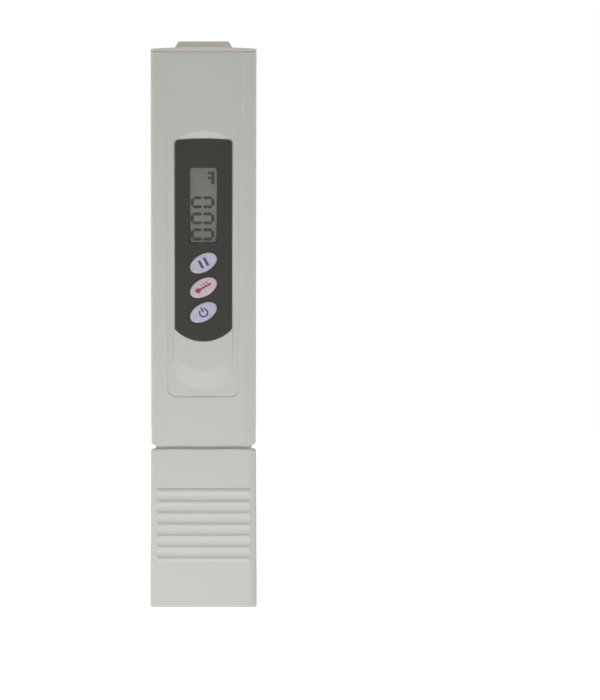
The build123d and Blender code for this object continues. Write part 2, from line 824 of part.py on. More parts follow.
# Calibration trimmer behind the hole in the back
with BuildPart() as trimmer_body:
    with BuildSketch(back_plane(board_back_y)):
        with Locations((0, trimmer_z)):
            Rectangle(trimmer_size, trimmer_size)
    extrude(amount=trimmer_height)
    chamfer(trimmer_body.edges().filter_by(Axis.Y), rotor_rise)
    with BuildSketch(back_plane(board_back_y + trimmer_height)):
        with Locations((0, trimmer_z)):
            Circle(rotor_radius + shaft_gap)
    extrude(amount=-rotor_seat_depth, mode=Mode.SUBTRACT)
trimmer_body.part.label = "trimmer_body"

with BuildPart() as trimmer_rotor:
    with BuildSketch(back_plane(board_back_y + trimmer_height - rotor_seat_depth + shaft_gap)):
        with Locations((0, trimmer_z)):
            Circle(rotor_radius)
    extrude(amount=rotor_seat_depth + rotor_rise - shaft_gap)
    chamfer(trimmer_rotor.faces().sort_by(Axis.Y)[-1].edges(), rotor_slot_width / 3)
    with BuildSketch(back_plane(board_back_y + trimmer_height + rotor_rise)):
        with Locations((0, trimmer_z)):
            Rectangle(1.5 * rotor_radius, rotor_slot_width)
            Rectangle(rotor_slot_width, 1.5 * rotor_radius)
    extrude(amount=-rotor_slot_depth, mode=Mode.SUBTRACT)
trimmer_rotor.part.label = "trimmer_rotor"

# Battery tray: two round pockets side by side, open to the front, with slots for the contacts
with BuildPart() as battery_tray:
    with BuildSketch(front_plane(tray_back_y)):
        with Locations((0, (tray_bottom + plate_bottom) / 2)):
            Rectangle(tray_width, plate_bottom - tray_bottom)
    extrude(amount=tray_back_y - tray_front_y)
    fillet(battery_tray.edges().filter_by(Axis.Z), tray_edge_radius)
    with BuildSketch(front_plane(cell_back_y)):
        with Locations((-cell_x, cell_z), (cell_x, cell_z)):
            Circle(cell_diameter / 2 + cell_gap)
    extrude(amount=cell_back_y - tray_front_y, mode=Mode.SUBTRACT)
    with BuildSketch(front_plane(tray_back_y)):
        with Locations((-cell_x, cell_z), (cell_x, cell_z)):
            Circle(bridge_stud_radius + part_gap)
    extrude(amount=tray_floor, mode=Mode.SUBTRACT)
    with BuildSketch(front_plane(cell_front_y + part_gap)):
        with Locations((-cell_x, (tray_bottom + cell_z) / 2), (cell_x, (tray_bottom + cell_z) / 2)):
            Rectangle(contact_width + 4 * part_gap, cell_z - tray_bottom)
    extrude(amount=tray_lip + part_gap, mode=Mode.SUBTRACT)
battery_tray.part.label = "battery_tray"

# Strip that joins the two cells at the back of the tray
with BuildPart() as battery_bridge:
    with BuildSketch(front_plane(tray_back_y + bridge_thickness)):
        with Locations((0, cell_z)):
            SlotCenterToCenter(2 * cell_x, 2 * (bridge_stud_radius + bridge_margin))
    extrude(amount=bridge_thickness)
    with BuildSketch(front_plane(tray_back_y)):
        with Locations((-cell_x, cell_z), (cell_x, cell_z)):
            Circle(bridge_stud_radius)
    extrude(amount=tray_floor)
battery_bridge.part.label = "battery_bridge"


def make_cell(x, can_faces_front):
    """Button cell: the can, and a smaller stepped cap on its other face."""
    near = front_plane(cell_back_y)
    far = back_plane(cell_front_y)
    base = near if not can_faces_front else far
    with BuildPart() as cell:
        with BuildSketch(base):
            with Locations((x if base is near else -x, cell_z)):
                Circle(cell_diameter / 2)
        extrude(amount=cell_thickness - cell_cap_step)
        fillet(cell.faces().sort_by(Axis.Y)[-1 if base is near else 0].edges(), cell_cap_step)
        with BuildSketch(base):
            with Locations((x if base is near else -x, cell_z)):
                Circle(cell_diameter / 2 - cell_cap_inset)
        extrude(amount=cell_thickness)
    return cell.part


left_cell = make_cell(-cell_x, True)
left_cell.label = "left_cell"
right_cell = make_cell(cell_x, False)
right_cell.label = "right_cell"

# Leaf contacts from the board up into the tray's slots
leaf_back_y = cell_front_y - part_gap
with BuildPart() as battery_contacts:
    for x in (-cell_x, cell_x):
        with BuildSketch(Plane.YZ.offset(x - contact_width / 2)):
            with BuildLine():
                Polyline(
                    (board_front_y, board_top - contact_foot),
                    (board_front_y, board_top + contact_strip),
                    (leaf_back_y, board_top + contact_strip),
                    (leaf_back_y, cell_z + contact_width / 2),
                    (leaf_back_y - contact_strip, cell_z + contact_width / 2),
                    (leaf_back_y - contact_strip, board_top),
                    (board_front_y - contact_strip, board_top),
                    (board_front_y - contact_strip, board_top - contact_foot),
                    close=True,
                )
            make_face()
        extrude(amount=contact_width)
battery_contacts.part.label = "battery_contacts"

# Battery cap: crowned plate, grip tab, half-round tongue and the latch tongue with its tooth
with BuildPart() as battery_cap:
    with BuildSketch(Plane.XY.offset(plate_bottom)):
        add(body_section(body_width_top))
    extrude(amount=plate_thickness)
    with BuildSketch(front_plane(body_depth)):
        with BuildLine():
            half = body_width_top / 2 + wall
            ThreePointArc((-half, plate_top - plate_crown), (0, plate_top), (half, plate_top - plate_crown))
            Polyline(
                (half, plate_top - plate_crown),
                (half, plate_bottom - wall),
                (-half, plate_bottom - wall),
                (-half, plate_top - plate_crown),
            )
        make_face()
    extrude(amount=2 * body_depth, mode=Mode.INTERSECT)
    with BuildSketch(Plane.XY.offset(plate_bottom + plate_thickness / 2)):
        Rectangle(tab_width + 2 * tab_flare, tab_depth + 2 * tab_flare)
    extrude(amount=plate_thickness / 2)
    with BuildSketch(Plane.XY.offset(plate_top)):
        Rectangle(tab_width + 2 * tab_flare, tab_depth + 2 * tab_flare)
    extrude(amount=tab_height, taper=degrees(atan2(tab_flare, tab_height)))
    with BuildSketch(front_plane(back_y)):
        with Locations((0, notch_z)):
            Circle(notch_radius)
        with Locations((0, (notch_z + plate_bottom + embed) / 2)):
            Rectangle(2 * notch_radius, plate_bottom + embed - notch_z)
        with Locations((0, plate_bottom + embed + notch_radius)):
            Rectangle(4 * notch_radius, 2 * notch_radius, mode=Mode.SUBTRACT)
    extrude(amount=wall - part_gap)
    with BuildSketch(front_plane(latch_back_y)):
        with Locations((0, (latch_tongue_end + plate_bottom + embed) / 2)):
            Rectangle(latch_tongue_width, plate_bottom + embed - latch_tongue_end)
    extrude(amount=latch_tongue_thickness)
    with BuildSketch(front_plane(back_y - latch_skin - part_gap)):
        with Locations((0, latch_z)):
            SlotOverall(latch_width - 2 * latch_tooth_gap, latch_height - 2 * latch_tooth_gap)
    extrude(amount=wall - latch_skin + embed)
battery_cap.part.label = "battery_cap"

# Probe housing: hollow above a web that carries the electrodes, with an open well below it
with BuildPart() as probe_housing:
    with BuildSketch(Plane.XY.offset(probe_end_height)):
        RectangleRounded(probe_width, probe_depth, probe_radius)
    extrude(amount=flange_bottom - probe_end_height)
    with BuildSketch(Plane.XY.offset(flange_bottom)):
        RectangleRounded(flange_width, flange_depth, probe_radius)
    extrude(amount=flange_thickness)
    with BuildSketch(Plane.XY.offset(probe_end_height)):
        RectangleRounded(probe_width - 2 * probe_wall, probe_depth - 2 * probe_wall, well_radius)
    extrude(amount=well_depth, mode=Mode.SUBTRACT)
    with BuildSketch(Plane.XY.offset(web_top)):
        RectangleRounded(probe_width - 2 * probe_wall, probe_depth - 2 * probe_wall, well_radius)
    extrude(amount=flange_top - web_top, mode=Mode.SUBTRACT)
    with BuildSketch(front_plane(probe_depth)):
        with Locations((0, probe_end_height + drain_slot_height - drain_slot_width / 2)):
            Circle(drain_slot_width / 2)
        with Locations((0, probe_end_height + (drain_slot_height - drain_slot_width) / 2)):
            Rectangle(drain_slot_width, drain_slot_height)
    extrude(amount=2 * probe_depth, mode=Mode.SUBTRACT)
    with BuildSketch(Plane.XY.offset(web_bottom)):
        with Locations((-pin_spacing / 2, 0), (pin_spacing / 2, 0)):
            Circle(pin_radius + shaft_gap)
        Circle(thermistor_radius + shaft_gap)
    extrude(amount=web_thickness, mode=Mode.SUBTRACT)
    fillet(probe_housing.faces().sort_by(Axis.Z)[0].edges().filter_by(GeomType.LINE), shaft_gap * 4)
probe_housing.part.label = "probe_housing"

# Gasket on the neck's shoulder
with BuildPart() as neck_seal:
    with BuildSketch(Plane.XY.offset(cavity_bottom)):
        RectangleRounded(flange_width, flange_depth, probe_radius)
        RectangleRounded(neck_bore_width, neck_bore_depth, neck_bore_radius, mode=Mode.SUBTRACT)
    extrude(amount=seal_thickness)
neck_seal.part.label = "neck_seal"

# Two electrodes with round ends
with BuildPart() as probe_pins:
    with BuildSketch(Plane.XY.offset(probe_end_height + pin_end_recess)):
        with Locations((-pin_spacing / 2, 0), (pin_spacing / 2, 0)):
            Circle(pin_radius)
    extrude(amount=pin_top - probe_end_height - pin_end_recess)
    tips = probe_pins.edges().group_by(Axis.Z)[0]
    fillet(tips, pin_radius - shaft_gap)
probe_pins.part.label = "probe_pins"

# Temperature sensor with a domed end
with BuildPart() as thermistor:
    with BuildSketch(Plane.XY.offset(web_bottom - thermistor_reach)):
        Circle(thermistor_radius)
    extrude(amount=pin_top - web_bottom + thermistor_reach)
    fillet(thermistor.edges().group_by(Axis.Z)[0], thermistor_radius - shaft_gap)
thermistor.part.label = "thermistor"


def make_lead(x, radius):
    """Wire that rises from the probe and bends back on to the board."""
    rest_y = board_back_y + radius + shaft_gap
    route = [
        Vector(x, 0, pin_top),
        Vector(x, 0, board_bottom - 2 * lead_landing),
        Vector(x, rest_y, board_bottom - lead_landing / 2),
        Vector(x, rest_y, board_bottom + lead_landing),
    ]
    with BuildPart() as lead:
        with BuildLine() as path:
            FilletPolyline(route, radius=lead_bend_radius)
        with BuildSketch(Plane.XY.offset(pin_top)):
            with Locations((x, 0)):
                Circle(radius)
        sweep(path=path.line)
    return lead.part


lead_starts = [
    (-pin_spacing / 2, lead_radius),
    (pin_spacing / 2, lead_radius),
    (-thermistor_lead_spacing / 2, thermistor_lead_radius),
    (thermistor_lead_spacing / 2, thermistor_lead_radius),
]
probe_leads = Compound(label="probe_leads", children=[make_lead(x, radius) for x, radius in lead_starts])

# Pocket clip: tapering arm that stands off the back, with a hooked foot in its slot
with BuildPart() as pocket_clip:
    with BuildSketch(Plane.YZ.offset(-clip_root_width)):
        with BuildLine():
            Polyline(
                (back_y + clip_root_standoff, clip_top),
                (back_y + clip_root_standoff + clip_thickness, clip_top),
                (back_y + clip_tip_standoff + clip_thickness, clip_bottom + clip_tip_width),
                (back_y + clip_tip_standoff, clip_bottom),
                (back_y + clip_tip_gap, clip_bottom + clip_tip_width / 4),
                (back_y + clip_tip_gap, clip_bottom + clip_tip_width / 2),
                (back_y + clip_tip_standoff, clip_bottom + 1.5 * clip_tip_width),
                close=True,
            )
        make_face()
    extrude(amount=2 * clip_root_width)
    with BuildSketch(back_plane(0)):
        with BuildLine():
            tip_centre = clip_bottom + clip_tip_width / 2
            Polyline(
                (-clip_tip_width / 2, tip_centre),
                (-clip_root_width / 2, clip_top),
                (clip_root_width / 2, clip_top),
                (clip_tip_width / 2, tip_centre),
            )
            ThreePointArc((clip_tip_width / 2, tip_centre), (0, clip_bottom), (-clip_tip_width / 2, tip_centre))
        make_face()
    extrude(amount=2 * body_depth, mode=Mode.INTERSECT)
    outer_face = pocket_clip.faces().filter_by(GeomType.PLANE).sort_by(Axis.Y)[-1]
    chamfer(outer_face.edges().sort_by(SortBy.LENGTH)[-2:], clip_bevel)
    with BuildSketch(back_plane(inner_back_y - clip_hook)):
        with Locations((0, clip_foot_z)):
            Rectangle(clip_foot_width, clip_foot_height)
    extrude(amount=wall + clip_hook + clip_root_standoff + embed)
    with BuildSketch(back_plane(inner_back_y - 2 * clip_hook)):
        with Locations((0, clip_foot_z)):
            Rectangle(clip_foot_width, clip_foot_height + 2 * clip_hook)
    extrude(amount=clip_hook)
pocket_clip.part.label = "pocket_clip"

# Raised grip ridges: a wave profile drawn across the cap, rounded off where it meets the sides
with BuildPart() as grip:
    for facing in (-1, 1):
        face = cap_depth_bottom / 2
        foot = face + ridge_valley_rise
        crest = face + ridge_height
        with BuildSketch(Plane.YZ):
            with BuildLine():
                last = ridge_top_height + ridge_half_width
                Line((facing * (face - cap_wall / 2), last), (facing * foot, last))
                for ridge in range(ridge_count):
                    centre = ridge_top_height - ridge * ridge_pitch
                    Polyline(
                        (facing * foot, centre + ridge_half_width),
                        (facing * crest, centre + ridge_crest_half_width),
                        (facing * crest, centre - ridge_crest_half_width),
                        (facing * foot, centre - ridge_half_width),
                    )
                    if ridge < ridge_count - 1:
                        ThreePointArc(
                            (facing * foot, centre - ridge_half_width),
                            (facing * (foot - ridge_valley_dip), centre - ridge_pitch / 2),
                            (facing * foot, centre - ridge_pitch + ridge_half_width),
                        )
                last = ridge_top_height - (ridge_count - 1) * ridge_pitch - ridge_half_width
                Polyline(
                    (facing * foot, last),
                    (facing * (face - cap_wall / 2), last),
                    (facing * (face - cap_wall / 2), ridge_top_height + ridge_half_width),
                )
            make_face()
        extrude(amount=cap_width_top, both=True)
    with BuildSketch(Plane.XY):
        RectangleRounded(
            cap_width_bottom - 2 * ridge_end_inset,
            cap_depth_bottom + 2 * ridge_height,
            ridge_end_radius,
        )
    extrude(amount=cap_length, mode=Mode.INTERSECT)

with BuildPart() as probe_cap:
    with BuildSketch(Plane.XY):
        RectangleRounded(cap_width_bottom, cap_depth_bottom, cap_corner_radius)
    with BuildSketch(Plane.XY.offset(cap_length)):
        RectangleRounded(cap_width_top, cap_depth_top, cap_corner_radius)
    loft()
    fillet(probe_cap.faces().sort_by(Axis.Z)[0].edges(), cap_bottom_round)
    chamfer(probe_cap.faces().sort_by(Axis.Z)[-1].edges(), cap_mouth_chamfer)
    add(grip.part)
    with BuildSketch(back_plane(cap_depth_bottom / 2 - cap_wall / 2)):
        for ridge in pip_ridges:
            with Locations((0, ridge_top_height - ridge * ridge_pitch + pip_lift)):
                RegularPolygon(pip_radius, 3, rotation=90)
            with Locations((0, ridge_top_height - ridge * ridge_pitch + pip_lift - pip_stem_length / 2)):
                Rectangle(pip_stem_width, pip_stem_length)
    extrude(amount=cap_wall / 2 + pip_rise)
    with BuildSketch(Plane.XY.offset(cap_floor)):
        RectangleRounded(cap_bore_width, cap_bore_depth, cap_bore_radius)
    extrude(amount=cap_length, mode=Mode.SUBTRACT)
probe_cap.part.label = "probe_cap"

pieces = [
    front_shell.part,
    back_shell.part,
    display_panel.part,
    display_window.part,
    lcd_glass.part,
    lcd_reflector.part,
    lcd_frame.part,
    zebra_strips.part,
    main_board.part,
    board_screws.part,
    controller_chip.part,
    amplifier_chip.part,
    crystal.part,
    chip_capacitors.part,
    chip_resistors.part,
    switch_bodies.part,
    *keys.values(),
    trimmer_body.part,
    trimmer_rotor.part,
    battery_contacts.part,
    battery_tray.part,
    battery_bridge.part,
    left_cell,
    right_cell,
    battery_cap.part,
    probe_housing.part,
    neck_seal.part,
    probe_pins.part,
    thermistor.part,
    probe_leads,
    pocket_clip.part,
    probe_cap.part,
]
for piece in pieces:
    export_step(piece, "parts/" + piece.label + ".step")
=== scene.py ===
from math import cos, pi, radians, sin

import bmesh
import bpy
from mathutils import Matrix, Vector


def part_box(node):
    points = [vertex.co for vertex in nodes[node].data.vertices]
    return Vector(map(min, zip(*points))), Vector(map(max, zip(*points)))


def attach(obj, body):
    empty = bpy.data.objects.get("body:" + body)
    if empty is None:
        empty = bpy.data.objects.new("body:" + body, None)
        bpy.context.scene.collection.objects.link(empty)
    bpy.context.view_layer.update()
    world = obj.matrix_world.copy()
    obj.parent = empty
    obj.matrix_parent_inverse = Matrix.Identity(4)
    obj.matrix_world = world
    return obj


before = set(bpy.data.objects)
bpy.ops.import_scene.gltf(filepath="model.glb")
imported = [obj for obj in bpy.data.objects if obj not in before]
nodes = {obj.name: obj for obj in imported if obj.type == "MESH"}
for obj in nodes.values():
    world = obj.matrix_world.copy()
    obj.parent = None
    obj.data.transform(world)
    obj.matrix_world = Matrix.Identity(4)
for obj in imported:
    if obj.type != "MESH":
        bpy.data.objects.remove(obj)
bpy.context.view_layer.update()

mm = 0.001
white = (1.0, 1.0, 1.0, 1.0)
print("frame loaded:", len(nodes), "nodes")


# Helpers for colours and shader nodes

def srgb(r, g, b):
    # screen colour 0-255 to the linear values that the shader takes
    def channel(value):
        value /= 255
        return value / 12.92 if value <= 0.04045 else ((value + 0.055) / 1.055) ** 2.4
    return (channel(r), channel(g), channel(b), 1.0)


def scaled(colour, factor):
    return (colour[0] * factor, colour[1] * factor, colour[2] * factor, 1.0)


def addNode(tree, kind, **settings):
    node = tree.nodes.new(kind)
    for key, value in settings.items():
        setattr(node, key, value)
    return node


def setInputs(node, **values):
    # an underscore in a name stands for the space in the socket's label
    for key, value in values.items():
        node.inputs[key.replace("_", " ")].default_value = value
    return node


def addNoise(tree, place, **values):
    noise = setInputs(addNode(tree, "ShaderNodeTexNoise"), **values)
    tree.links.new(place, noise.inputs["Vector"])
    return noise


def newGroup(name, inputs, outputs):
    group = bpy.data.node_groups.new(name, "ShaderNodeTree")
    for label, kind, value in inputs:
        socket = group.interface.new_socket(label, in_out="INPUT", socket_type=kind)
        socket.default_value = value
    for label, kind in outputs:
        group.interface.new_socket(label, in_out="OUTPUT", socket_type=kind)
    return group, group.nodes.new("NodeGroupInput"), group.nodes.new("NodeGroupOutput")


def placeGroup(tree, group, **values):
    return setInputs(addNode(tree, "ShaderNodeGroup", node_tree=group), **values)


# Shared effects. Each puts out only values that change over the surface

def makeGrainGroup():
    # fine spark-eroded mould grain, with a slower unevenness under it
    group, enter, leave = newGroup(
        "mouldGrain",
        [("Grain", "NodeSocketFloat", 4000.0), ("Unevenness", "NodeSocketFloat", 60.0)],
        [("Height", "NodeSocketFloat"), ("Slow", "NodeSocketFloat")],
    )
    place = addNode(group, "ShaderNodeTexCoord").outputs["Object"]
    fine = addNoise(group, place, Detail=3.0, Roughness=0.6)
    slow = addNoise(group, place, Detail=2.0, Roughness=0.5)
    links = group.links
    links.new(enter.outputs["Grain"], fine.inputs["Scale"])
    links.new(enter.outputs["Unevenness"], slow.inputs["Scale"])
    links.new(fine.outputs["Fac"], leave.inputs["Height"])
    links.new(slow.outputs["Fac"], leave.inputs["Slow"])
    return group


def makeBrushGroup():
    # lines left by drawing or brushing metal, stretched along one direction, and soft stains
    group, enter, leave = newGroup(
        "brushLines",
        [("Stretch", "NodeSocketVector", (1.0, 1.0, 0.05)),
         ("Fineness", "NodeSocketFloat", 3000.0)],
        [("Height", "NodeSocketFloat"), ("Tone", "NodeSocketFloat")],
    )
    place = addNode(group, "ShaderNodeTexCoord").outputs["Object"]
    squeeze = addNode(group, "ShaderNodeVectorMath", operation="MULTIPLY")
    lines = addNoise(group, squeeze.outputs[0], Detail=2.0, Roughness=0.7)
    stains = addNoise(group, place, Scale=250.0, Detail=4.0)
    links = group.links
    links.new(place, squeeze.inputs[0])
    links.new(enter.outputs["Stretch"], squeeze.inputs[1])
    links.new(enter.outputs["Fineness"], lines.inputs["Scale"])
    links.new(lines.outputs["Fac"], leave.inputs["Height"])
    links.new(stains.outputs["Fac"], leave.inputs["Tone"])
    return group


def makeDustGroup():
    # handling marks: a soft cloud with a few fine specks
    dustShape = {"speckReach": 0.12, "speckTone": 0.5, "cloudShare": 0.7}
    group, enter, leave = newGroup(
        "handlingDust",
        [("Cloud", "NodeSocketFloat", 120.0), ("Specks", "NodeSocketFloat", 900.0)],
        [("Mask", "NodeSocketFloat")],
    )
    place = addNode(group, "ShaderNodeTexCoord").outputs["Object"]
    cloud = addNoise(group, place, Detail=5.0, Roughness=0.65)
    specks = addNode(group, "ShaderNodeTexVoronoi", feature="F1")
    limits = addNode(group, "ShaderNodeMapRange")
    setInputs(limits, From_Min=0.0, From_Max=dustShape["speckReach"],
              To_Min=dustShape["speckTone"], To_Max=0.0)
    total = addNode(group, "ShaderNodeMath", operation="MULTIPLY_ADD")
    total.inputs[1].default_value = dustShape["cloudShare"]
    links = group.links
    links.new(place, specks.inputs["Vector"])
    links.new(enter.outputs["Cloud"], cloud.inputs["Scale"])
    links.new(enter.outputs["Specks"], specks.inputs["Scale"])
    links.new(specks.outputs["Distance"], limits.inputs["Value"])
    links.new(cloud.outputs["Fac"], total.inputs[0])
    links.new(limits.outputs[0], total.inputs[2])
    links.new(total.outputs[0], leave.inputs["Mask"])
    return group


grainGroup = makeGrainGroup()
brushGroup = makeBrushGroup()
dustGroup = makeDustGroup()


# Materials

# a noise or mask runs from its low tone to its high one between these two values
maskLow, maskHigh = 0.3, 0.7

# what a plastic has unless its own look says otherwise
plainPlastic = {"cloud": 120.0, "specks": 900.0, "shine": 0.5, "ior": 1.5}


def newMaterial(name):
    material = bpy.data.materials.new(name)
    material.use_nodes = True
    tree = material.node_tree
    return material, tree, tree.nodes["Principled BSDF"]


def feedColour(tree, shader, mask, low, high):
    # colour runs between two tones with the mask
    ramp = addNode(tree, "ShaderNodeValToRGB")
    first, last = ramp.color_ramp.elements
    first.position, first.color = maskLow, low
    last.position, last.color = maskHigh, high
    tree.links.new(mask, ramp.inputs["Fac"])
    tree.links.new(ramp.outputs["Color"], shader.inputs["Base Color"])


def feedRoughness(tree, shader, mask, low, high):
    spread = addNode(tree, "ShaderNodeMapRange")
    setInputs(spread, From_Min=maskLow, From_Max=maskHigh, To_Min=low, To_Max=high)
    tree.links.new(mask, spread.inputs["Value"])
    tree.links.new(spread.outputs[0], shader.inputs["Roughness"])


def feedBump(tree, shader, height, strength, distance):
    bump = setInputs(addNode(tree, "ShaderNodeBump"), Strength=strength, Distance=distance)
    tree.links.new(height, bump.inputs["Height"])
    tree.links.new(bump.outputs["Normal"], shader.inputs["Normal"])


def plasticMaterial(name, ownLook):
    look = dict(plainPlastic, **ownLook)
    material, tree, shader = newMaterial(name)
    grain = placeGroup(tree, grainGroup, Grain=look["grain"], Unevenness=look["unevenness"])
    dust = placeGroup(tree, dustGroup, Cloud=look["cloud"], Specks=look["specks"])
    colour = srgb(*look["colour"])
    clean, dusty = scaled(colour, 1 + look["spread"]), scaled(colour, 1 - look["spread"])
    feedColour(tree, shader, dust.outputs["Mask"], clean, dusty)
    feedRoughness(tree, shader, grain.outputs["Slow"], *look["roughness"])
    feedBump(tree, shader, grain.outputs["Height"], look["bump"], look["depth"])
    setInputs(shader, IOR=look["ior"], Specular_IOR_Level=look["shine"])
    if "coat" in look:
        weight, roughness = look["coat"]
        setInputs(shader, Coat_Weight=weight, Coat_Roughness=roughness)
    return material


def metalMaterial(name, look):
    material, tree, shader = newMaterial(name)
    lines = placeGroup(tree, brushGroup, Stretch=look["stretch"], Fineness=look["fineness"])
    colour = srgb(*look["colour"])
    dull, bright = scaled(colour, 1 - look["spread"]), scaled(colour, 1 + look["spread"])
    feedColour(tree, shader, lines.outputs["Tone"], dull, bright)
    feedRoughness(tree, shader, lines.outputs["Height"], *look["roughness"])
    feedBump(tree, shader, lines.outputs["Height"], look["bump"], look["depth"])
    setInputs(shader, Metallic=1.0)
    return material


def dress(material, *names):
    for name in names:
        mesh = nodes[name].data
        if not mesh.materials:
            mesh.materials.append(material)
        for index in range(len(mesh.materials)):
            mesh.materials[index] = material


# Housing: pale grey moulding plastic
housingLook = {
    "colour": (200, 200, 194), "spread": 0.012, "grain": 3800.0, "unevenness": 45.0,
    "roughness": (0.5, 0.6), "bump": 0.25, "depth": 0.00004, "cloud": 60.0, "specks": 500.0,
}
dress(plasticMaterial("housingPlastic", housingLook), "back_shell", "battery_tray")

# The probe cap has the same finish in a slightly cooler grey
probeCapLook = dict(housingLook, colour=(199, 200, 196))
dress(plasticMaterial("probeCapPlastic", probeCapLook), "probe_cap")

# The battery cap is a shade lighter and warmer than the housing
batteryCapLook = dict(housingLook, colour=(208, 203, 194))
dress(plasticMaterial("batteryCapPlastic", batteryCapLook), "battery_cap")

# The front shell is the housing's plastic, with painted shade on the walls of the window,
# dark like the overlay. The pane reaches this margin, in mm, past the window on each side
windowShadeLook = {"paneMargin": 1.08, "fill": (58, 56, 50)}


def paintShadeOnWindowWalls(material, look):
    # what lies inside the window's outline, seen from the front, takes the painted shade
    low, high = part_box("display_window")
    centre = (low + high) / 2
    reach = (high - low) / 2 - Vector((look["paneMargin"], 0, look["paneMargin"])) * mm
    tree = material.node_tree
    shader = tree.nodes["Principled BSDF"]
    plain = shader.inputs["Base Color"].links[0].from_socket
    place = addNode(tree, "ShaderNodeTexCoord")
    fromCentre = addNode(tree, "ShaderNodeVectorMath", operation="SUBTRACT")
    fromCentre.inputs[1].default_value = centre
    away = addNode(tree, "ShaderNodeVectorMath", operation="ABSOLUTE")
    split = addNode(tree, "ShaderNodeSeparateXYZ")
    across = addNode(tree, "ShaderNodeMath", operation="LESS_THAN")
    across.inputs[1].default_value = reach.x
    along = addNode(tree, "ShaderNodeMath", operation="LESS_THAN")
    along.inputs[1].default_value = reach.z
    inside = addNode(tree, "ShaderNodeMath", operation="MULTIPLY")
    # the dark colour mixed in here is painted shade on the window walls
    paint = setInputs(addNode(tree, "ShaderNodeMixRGB"), Color2=srgb(*look["fill"]))
    links = tree.links
    links.new(place.outputs["Object"], fromCentre.inputs[0])
    links.new(fromCentre.outputs[0], away.inputs[0])
    links.new(away.outputs[0], split.inputs[0])
    links.new(split.outputs["X"], across.inputs[0])
    links.new(split.outputs["Z"], along.inputs[0])
    links.new(across.outputs[0], inside.inputs[0])
    links.new(along.outputs[0], inside.inputs[1])
    links.new(inside.outputs[0], paint.inputs["Fac"])
    links.new(plain, paint.inputs["Color1"])
    links.new(paint.outputs["Color"], shader.inputs["Base Color"])


frontMaterial = plasticMaterial("frontShellPlastic", housingLook)
paintShadeOnWindowWalls(frontMaterial, windowShadeLook)
dress(frontMaterial, "front_shell")

clipLook = {
    "colour": (206, 205, 194), "spread": 0.012, "grain": 3800.0, "unevenness": 60.0,
    "roughness": (0.42, 0.52), "bump": 0.2, "depth": 0.00003, "cloud": 90.0, "specks": 500.0,
}
dress(plasticMaterial("clipPlastic", clipLook), "pocket_clip")

# Display overlay: dark satin film
overlayLook = {
    "colour": (50, 48, 42), "spread": 0.06, "grain": 2600.0, "unevenness": 90.0,
    "roughness": (0.34, 0.44), "bump": 0.12, "depth": 0.00002, "cloud": 140.0,
    "specks": 700.0, "shine": 0.3,
}
dress(plasticMaterial("overlayFilm", overlayLook), "display_panel")

# Keys: silver lacquer, the middle one warmer. The coat is its weight and roughness
keyLook = {
    "colour": (172, 168, 188), "spread": 0.25, "grain": 3000.0, "unevenness": 250.0,
    "roughness": (0.26, 0.36), "bump": 0.3, "depth": 0.00004, "cloud": 900.0,
    "coat": (0.5, 0.2),
}
warmKeyLook = dict(keyLook, colour=(186, 168, 178))
dress(plasticMaterial("keyLacquer", keyLook), "hold_key", "power_key")
dress(plasticMaterial("warmKeyLacquer", warmKeyLook), "temp_key")
print("housing, overlay and keys dressed")


# Display: clear pane, grey glass and the film behind it
paneLook = {
    "colour": (238, 240, 238), "dulled": (228, 230, 226), "cloud": 160.0, "specks": 1200.0,
    "roughness": 0.04, "shine": 0.06, "ior": 1.45,
}
paneMaterial, paneTree, paneShader = newMaterial("clearPane")
paneDust = placeGroup(paneTree, dustGroup, Cloud=paneLook["cloud"], Specks=paneLook["specks"])
feedColour(paneTree, paneShader, paneDust.outputs["Mask"],
           srgb(*paneLook["colour"]), srgb(*paneLook["dulled"]))
setInputs(paneShader, Roughness=paneLook["roughness"], Transmission_Weight=1.0,
          IOR=paneLook["ior"], Specular_IOR_Level=paneLook["shine"])
dress(paneMaterial, "display_window")

glassLook = {
    "colour": (134, 133, 125), "spread": 0.03, "grain": 5000.0, "unevenness": 110.0,
    "roughness": (0.3, 0.36), "bump": 0.03, "depth": 0.00001, "shine": 0.2,
}
dress(plasticMaterial("displayGlass", glassLook), "lcd_glass")

filmLook = {
    "colour": (188, 190, 184), "spread": 0.06, "stretch": (0.05, 1.0, 1.0), "fineness": 4000.0,
    "roughness": (0.3, 0.45), "bump": 0.1, "depth": 0.00001,
}
dress(metalMaterial("reflectorFilm", filmLook), "lcd_reflector")


# Outlines of the inks: lists of (u, v) points in mm on the face that carries them

def barOutline(x, z, width, height):
    return [(x, z), (x + width, z), (x + width, z + height), (x, z + height)]


def segmentOutline(start, end, width):
    # display segment with pointed ends between two points along one axis
    (x0, z0), (x1, z1) = start, end
    half = width / 2
    if abs(x1 - x0) > abs(z1 - z0):
        return [(x0, z0), (x0 + half, z0 + half), (x1 - half, z0 + half),
                (x1, z0), (x1 - half, z0 - half), (x0 + half, z0 - half)]
    return [(x0, z0), (x0 + half, z0 + half), (x0 + half, z1 - half),
            (x0, z1), (x0 - half, z1 - half), (x0 - half, z0 + half)]


def ringOutlines(centre, outer, inner, start, end, steps):
    # an open or closed ring band as short closed quads, between two angles in degrees
    def rim(radius, angle):
        return (centre[0] + radius * cos(angle), centre[1] + radius * sin(angle))

    outlines = []
    for step in range(steps):
        first = radians(start + (end - start) * step / steps)
        second = radians(start + (end - start) * (step + 1) / steps)
        outlines.append([rim(inner, first), rim(outer, first),
                         rim(outer, second), rim(inner, second)])
    return outlines


